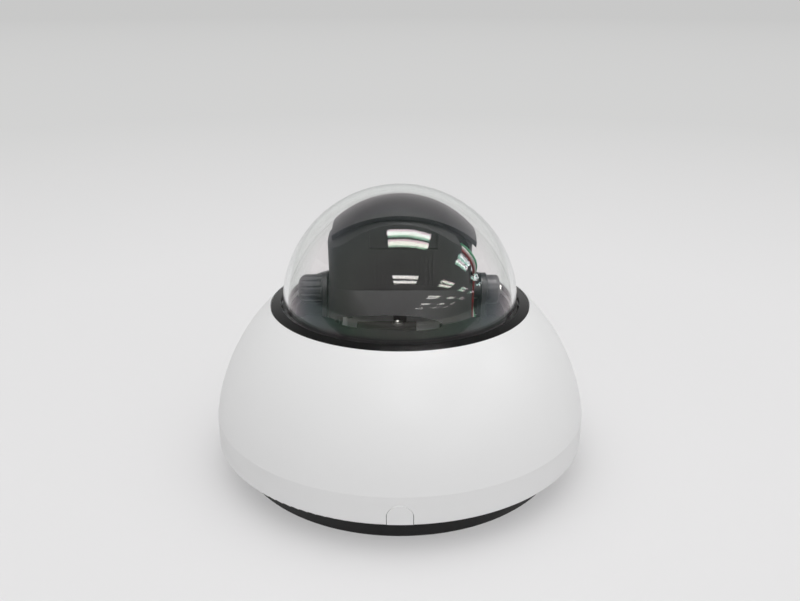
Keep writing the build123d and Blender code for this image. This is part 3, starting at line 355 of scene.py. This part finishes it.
# %% Board and terminals
def lacquered_board():
    finish = Finish("board_green", {"Coat Weight": 0.4, "Coat Roughness": 0.15})
    settings = {"offset": 0.37, "squash": 0.6, "squash_frequency": 3}
    sizes = {"Scale": 1.0, "Mortar Size": 0.22 * mm, "Brick Width": 5.5 * mm, "Row Height": 1.7 * mm}
    tracks = finish.node("ShaderNodeTexBrick", settings, {"Vector": place(finish), **sizes}, "Fac")
    weave = grain(finish, 0.8 * mm, 2.0)
    green = blend(finish, weave, (0.012, 0.10, 0.035, 1), (0.016, 0.12, 0.042, 1))
    finish.set({
        "Base Color": blend(finish, tracks, green, (0.05, 0.20, 0.07, 1)),
        "Roughness": 0.30 + 0.12 * weave,
        "Normal": relief(finish, tracks, 0.03 * mm),
    })
    return finish


def green_nylon():
    finish = Finish("terminal_green", {"Specular IOR Level": 0.45})
    speck = grain(finish, 0.6 * mm, 3.0)
    finish.set({
        "Base Color": blend(finish, speck, (0.02, 0.22, 0.06, 1), (0.03, 0.27, 0.08, 1)),
        "Roughness": 0.40 + 0.10 * speck,
        "Normal": relief(finish, speck, 0.01 * mm),
    })
    return finish


finishes["board_green"] = lacquered_board()
finishes["terminal_green"] = green_nylon()
print("electronics finishes", "board_green", "terminal_green")

# %% [markdown]
# Wires.
# Each wire is soft vinyl over stranded copper. The strands press through the vinyl as a very
# shallow unevenness, and the colour is never pure: the vinyl is a little cloudy.

# %% Wire insulation
def vinyl(name, colour, cloudy):
    finish = Finish(name, {"Specular IOR Level": 0.5})
    strands = grain(finish, 0.5 * mm, 1.0)
    cloud = grain(finish, 3 * mm, 3.0)
    finish.set({
        "Base Color": blend(finish, cloud, colour, cloudy),
        "Roughness": 0.34 + 0.10 * cloud,
        "Normal": relief(finish, strands, 0.02 * mm),
    })
    return finish


finishes["wire_red"] = vinyl("wire_red", (0.19, 0.014, 0.015, 1), (0.15, 0.016, 0.016, 1))
finishes["wire_white"] = vinyl("wire_white", (0.50, 0.50, 0.475, 1), (0.44, 0.44, 0.415, 1))
finishes["wire_green"] = vinyl("wire_green", (0.04, 0.24, 0.11, 1), (0.05, 0.20, 0.10, 1))
print("finishes in all", len(finishes))

# %% [markdown]
# Which part wears which finish.
# The record of the model lists every part with its material slot. A part is dressed by writing
# the finish of that name into its mesh's slot, which leaves the shape as it is.

# %% Dressing the parts
for item in frame["record"]["subparts"]:
    mesh = parts[item["node"]].data
    mesh.materials.clear()
    mesh.materials.append(finishes[item["material_slot"]].material)

# %% [markdown]
# The bubble's shape.
# A reflection shows every flat of a mesh, and the dome mirrors the whole room. So the solid
# dome is replaced by the same shell with finer steps: its profile, an outer arc, the flange
# and an inner arc, is turned about the upright axis. The skin helper joins one ring of points
# to the next, and a ring of one point is a pole.

# %% Turned bubble
def skin(solid, rings):
    steps = max(len(ring) for ring in rings)
    for near, far in zip(rings, rings[1:]):
        for step in range(steps):
            corners = [near[step % len(near)], near[(step + 1) % steps % len(near)]]
            corners += [far[(step + 1) % steps % len(far)], far[step % len(far)]]
            solid.faces.new(list(dict.fromkeys(corners)))
    bmesh.ops.recalc_face_normals(solid, faces=solid.faces)


def put(name, data):
    made = bpy.data.objects.new(name, data)
    bpy.context.scene.collection.objects.link(made)
    return made


def piece_from(solid, name, node, body, slot):
    mesh = bpy.data.meshes.new(name)
    solid.to_mesh(mesh)
    solid.free()
    mesh.shade_smooth()
    mesh.set_sharp_from_angle(angle=radians(35))
    mesh.materials.append(finishes[slot].material)
    piece = put(name, mesh)
    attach(piece, body)
    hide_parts(node)
    return piece


def arc(radius, centre, start, end, steps):
    turns = [start + (end - start) * step / steps for step in range(steps + 1)]
    return [(radius * sin(turn), centre + radius * cos(turn)) for turn in turns]


def turned_bubble(radius, wall, flange, steps):
    low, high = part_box("dome_bubble")
    centre = high.z - radius
    profile = arc(radius, centre, 0, pi / 2, steps)
    profile += [(radius, low.z + flange), (high.x, low.z + flange), (high.x, low.z), (radius - wall, low.z)]
    profile += arc(radius - wall, centre, pi / 2, 0, steps)
    solid = bmesh.new()
    turns = [pi / 2 * step / steps for step in range(4 * steps)]
    rings = []
    for reach, height in profile:
        around = turns if reach > 0 else [0]
        rings.append([solid.verts.new((reach * cos(turn), reach * sin(turn), height)) for turn in around])
    skin(solid, rings)
    return piece_from(solid, "bubble_shell", "dome_bubble", "housing", "clear_dome")


bubble = turned_bubble(radius=56.2 * mm, wall=2.5 * mm, flange=2.5 * mm, steps=56)
# Light passes through the bubble to the parts inside, which a plain shadow test would block.
bubble.visible_shadow = False
print("bubble faces", len(bubble.data.polygons))

# %% [markdown]
# Screws.
# The solids leave every screw as a plain round head on a shank. The ones that show have a
# domed head with a cross recess. Seen from above, the edge of a cross is a distance that depends
# only on the direction, so the recess is two more rings in a turned shape: one along that
# edge and a smaller one at the bottom.

# %% Cross-recess screws
def recess_edge(turn, half_width, reach):
    fold = turn % (pi / 2)
    fold = min(fold, pi / 2 - fold)
    if tan(fold) * reach <= half_width:
        return reach / cos(fold)
    return half_width / sin(fold)


def cross_screw(solid, seat, aim, head, height, shank, length):
    steps = 96
    taper = 0.7
    recess_floor = 0.35 * height
    drop = 0.4 * height
    turns = [2 * pi * step / steps for step in range(steps)]
    edge = [recess_edge(turn, half_width=0.15 * head, reach=0.56 * head) for turn in turns]
    rings = [[(0.0, recess_floor)], [(taper * reach, recess_floor) for reach in edge]]
    for share in (0.0, 0.3, 0.6, 0.85, 1.0):
        reaches = [reach + (head - reach) * share for reach in edge]
        rings.append([(reach, height - drop * (reach / head) ** 2) for reach in reaches])
    for reach, level in ((head, 0.0), (shank, 0.0), (shank, shank - length), (0.4 * shank, -length)):
        rings.append([(reach, level)] * steps)
    rings.append([(0.0, -length)])
    stand = Matrix.Translation(seat) @ aim.to_track_quat("Z", "Y").to_matrix().to_4x4()
    made = []
    for ring in rings:
        made.append([])
        for turn, (reach, level) in zip(turns, ring):
            point = Vector((reach * cos(turn), reach * sin(turn), level))
            made[-1].append(solid.verts.new(stand @ point))
    skin(solid, made)


def screws(node, body, aim, head, height, shank, across=None):
    low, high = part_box(node)
    middle = (low + high) / 2
    centres = [middle]
    if across is not None:
        apart = (high - middle).dot(across) - head
        centres = [middle + across * side * apart for side in (-1, 1)]
    half = (high - middle).dot(aim)
    solid = bmesh.new()
    for centre in centres:
        seat = centre + aim * (half - height)
        cross_screw(solid, seat, aim, head, height, shank, 2 * half - height)
    return piece_from(solid, node + "_cross", node, body, "screw_steel")


upward = Vector((0, 0, 1))
sideways = Vector((1, 0, 0))
medium = {"head": 2.5 * mm, "height": 1.3 * mm, "shank": 1.8 * mm}
large = {"head": 3.4 * mm, "height": 2.0 * mm, "shank": 2.4 * mm}
shown_screws = [
    screws("pan_lock_screw", "pan_unit", upward, **medium),
    screws("tilt_pivot_screw", "tilt_unit", sideways, **medium),
    screws("cover_screws", "housing", upward, **large, across=sideways),
]
print("screws", [piece.name for piece in shown_screws])

# %% [markdown]
# The wires' shape.
# Three thin leads come out of a notch under the visor, lie over the crown's corner and run down
# its side to the plug. A lead is one smooth line with a round section: a NURBS curve whose
# control points are the route. The three lie side by side, so each point of the route also has
# the direction in which the neighbours lie.

# %% Leads from the crown to the plug
lead_radius = 0.55 * mm
lead_pitch = 1.6 * mm
lead_route = [
    ((24.4, -13.6, 111.6), (0.71, 0.71, 0)),
    ((27.0, -16.2, 111.3), (0.71, 0.71, 0)),
    ((30.2, -19.2, 108.8), (0.71, 0.71, 0)),
    ((34.1, -15.4, 102.0), (0.60, 0.80, 0)),
    ((34.3, -9.0, 94.0), (0.10, 0.99, 0)),
    ((34.1, -8.4, 86.0), (0.00, 1.00, 0)),
    ((34.1, -8.4, 78.0), (0.10, 0.99, 0)),
    ((34.9, -9.0, 73.2), (0.60, 0.80, 0)),
    ((35.3, -9.5, 70.0), (0.71, 0.71, 0)),
]


def lead(name, step):
    line = bpy.data.curves.new(name, "CURVE")
    line.dimensions = "3D"
    line.bevel_depth = lead_radius
    line.bevel_resolution = 4
    line.resolution_u = 12
    line.use_fill_caps = True
    run = line.splines.new("NURBS")
    run.points.add(len(lead_route) - 1)
    points = [Vector(point) * mm + Vector(beside) * step * lead_pitch for point, beside in lead_route]
    for control, point in zip(run.points, points):
        control.co = (*point, 1.0)
    run.order_u = 3
    run.use_endpoint_u = True
    line.materials.append(finishes[name].material)
    piece = put(name + "_lead", line)
    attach(piece, "pan_unit")
    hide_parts(name)
    return run.calc_length()


lengths = [lead(name, step) for name, step in (("wire_red", -1), ("wire_white", 0), ("wire_green", 1))]
print("lead lengths in mm", [round(length / mm, 1) for length in lengths])

# %% [markdown]
# The room.
# The camera stands on a wide pale floor. A floor with an edge shows a horizon line in the other
# views, so with distance its shader gives way to a plain glow of the same tone as the room, by
# the factor of a Mix Shader. It is not part of the object. A dark card
# lies in front and shows only in reflections, where it stands for the unlit side of the room.

# %% Pale floor
room_tone = (0.985, 0.985, 0.98)
room_level = 0.59
matt_until = 0.35
glow_from = 1.2
room_from = 6.0


def pale_floor(near_level):
    finish = Finish("pale_floor", {
        "Base Color": (0.755, 0.75, 0.755, 1),
        "Roughness": 0.9,
        "Specular IOR Level": 0.1,
    })
    finish.set({"Normal": relief(finish, grain(finish, 1.2 * mm, 3.0), 0.01 * mm)})
    away = finish.node("ShaderNodeVectorMath", {"operation": "LENGTH"}, {0: place(finish)}, "Value")
    near = (*[near_level * part for part in room_tone], 1)
    far = (*[room_level * part for part in room_tone], 1)
    tone = blend(finish, between(finish, away, glow_from, room_from, 0.0, 1.0), near, far)
    glow = finish.node("ShaderNodeEmission", {}, {"Color": tone})
    matt = Socket(finish, finish.shader.outputs[0])
    lost = between(finish, away, matt_until, glow_from, 0.0, 1.0)
    surface = finish.node("ShaderNodeMixShader", {}, {0: lost, 1: matt, 2: glow})
    finish.feed(finish.tree.nodes["Material Output"].inputs["Surface"], surface)
    return finish


def wide_floor(radius):
    disc = bmesh.new()
    bmesh.ops.create_circle(disc, cap_ends=True, segments=96, radius=radius)
    mesh = bpy.data.meshes.new("pale_floor")
    disc.to_mesh(mesh)
    disc.free()
    floor = put("pale_floor", mesh)
    return floor


def lying_card(half_width, front, rear, height):
    mesh = bpy.data.meshes.new("dark_card")
    corners = [(-half_width, front, height), (half_width, front, height), (half_width, rear, height)]
    corners.append((-half_width, rear, height))
    mesh.from_pydata(corners, [], [(0, 1, 2, 3)])
    card = put("dark_card", mesh)
    for rays in ("camera", "diffuse", "transmission", "shadow"):
        setattr(card, "visible_" + rays, False)
    return card


floor = wide_floor(radius=20.0)
floor.data.materials.append(pale_floor(near_level=0.66).material)
card = lying_card(half_width=0.8, front=-1.6, rear=-0.2, height=1 * mm)
card.data.materials.append(finishes["black_base"].material)
print("stage", floor.name, card.name)

# %% [markdown]
# Light on the object.
# Two lamps light the camera, both from above and a little in front. A large soft box gives the soft
# shadow. A fill lamp that casts no shadow keeps that shadow pale, as it is in a bright white
# room, so that white parts stay below clipping and colours look as they are written. Neither
# shows in reflections, which have lamps of their own.

# %% Soft box and fill
def soft_lamp(name, spot, width, depth, radiance):
    lamp = bpy.data.lights.new(name, "AREA")
    lamp.shape = "RECTANGLE"
    lamp.size = width
    lamp.size_y = depth
    lamp.energy = radiance * pi * width * depth
    hung = put(name, lamp)
    hung.location = spot
    return hung


def fill_lamp(name, energy, spread, lean):
    lamp = bpy.data.lights.new(name, "SUN")
    lamp.energy = energy
    lamp.angle = spread
    lamp.use_shadow = False
    hung = put(name, lamp)
    hung.rotation_euler = lean
    return hung


soft_box = soft_lamp("soft_box", (0.7, -1.1, 2.0), width=4.5, depth=4.5, radiance=0.30)
fill = fill_lamp("fill", energy=1.40, spread=radians(15), lean=(radians(17), radians(4), 0))
for lamp in (soft_box, fill):
    lamp.visible_glossy = False
    lamp.visible_transmission = False
    lamp.visible_camera = False
print("lamps for the object", soft_box.name, fill.name)

# %% [markdown]
# Light in the bubble.
# The bubble mirrors the ceiling, where rows of lamp panels hang, each a pair of bright strips. An
# area lamp that diffuse surfaces cannot see shows in reflections only. Far panels
# are made weaker, because a real ceiling dims them.

# %% Lamp panels
ceiling = 1.5
panel_width = 0.88
panel_depth = 0.45
strip_depth = 0.17
first_panel = (0.19, -0.22)
panel_pitch = (1.95, 1.48)
panel_rows = (2, 5, 5, 5)
nearest_radiance = 14.0
fade = 0.85
for column, rows in enumerate(panel_rows):
    for row in range(rows):
        x = first_panel[0] + column * panel_pitch[0]
        y = first_panel[1] - row * panel_pitch[1]
        radiance = nearest_radiance * fade ** (column + row)
        for end, side in (("front", -1), ("rear", 1)):
            spot = (x, y + side * (panel_depth - strip_depth) / 2, ceiling)
            strip = soft_lamp(f"panel_{column}_{row}_{end}", spot, panel_width, strip_depth, radiance)
            strip.visible_diffuse = False
print("lamps in all", len(bpy.data.lights))

# %% [markdown]
# The air of the room.
# The world gives an even light from all sides. What the eye sees of it, straight or through the
# bubble, has the tone that the floor fades into. In reflections the room is darker, apart from
# a pale wall behind the object, so that black parts stay black. Light Path tells these rays apart.

# %% Pale room
ambient = 0.46
dark_room = 0.15
world = bpy.data.worlds.new("pale_room")
world.use_nodes = True
bpy.context.scene.world = world
room = Graph(world.node_tree)
seen = room.node("ShaderNodeLightPath", {}, {}, "Is Camera Ray")
seen_through = room.node("ShaderNodeLightPath", {}, {}, "Is Transmission Ray")
mirrored = room.node("ShaderNodeLightPath", {}, {}, "Is Glossy Ray")
facing = room.node("ShaderNodeTexCoord", {}, {}, "Generated")
behind = room.node("ShaderNodeSeparateXYZ", {}, {0: facing}, "Y")
above = room.node("ShaderNodeSeparateXYZ", {}, {0: facing}, "Z")
# The wall comes in softly as a direction turns to the rear, and ends as it turns up.
wall = between(room, behind, -0.1, 0.4, 0.0, 1.0) * between(room, above, 0.35, 0.75, 1.0, 0.0)
shown = (seen + seen_through) * (room_level - ambient)
in_mirrors = mirrored * (dark_room - ambient + (room_level - dark_room) * wall)
sky = world.node_tree.nodes["Background"]
room.feed(sky.inputs["Color"], (*room_tone, 1))
room.feed(sky.inputs["Strength"], ambient + shown + in_mirrors)
bpy.context.scene.view_settings.view_transform = "Standard"
print("room nodes", len(world.node_tree.nodes))

# %% [markdown]
# The viewpoint.
# A pinhole camera was fitted to the outlines in the photograph. Its focal length is 850 pixels
# of a picture 800 pixels wide, which is a 38 mm lens on a 36 mm sensor. It stands higher than
# the bubble, close in front, and looks down by about 20 degrees.

# %% Viewpoint
picture_width = 800
focal_pixels = 850
sensor = 36.0
eye = Vector((0.0, -0.3853, 0.2228))
look_down = radians(20.45)
view = bpy.data.cameras.new("viewpoint")
view.sensor_width = sensor
view.lens = focal_pixels * sensor / picture_width
viewpoint = put("viewpoint", view)
viewpoint.location = eye
viewpoint.rotation_euler = (pi / 2 - look_down, 0, 0)
bpy.context.scene.camera = viewpoint
print("lens in mm", round(view.lens, 2))
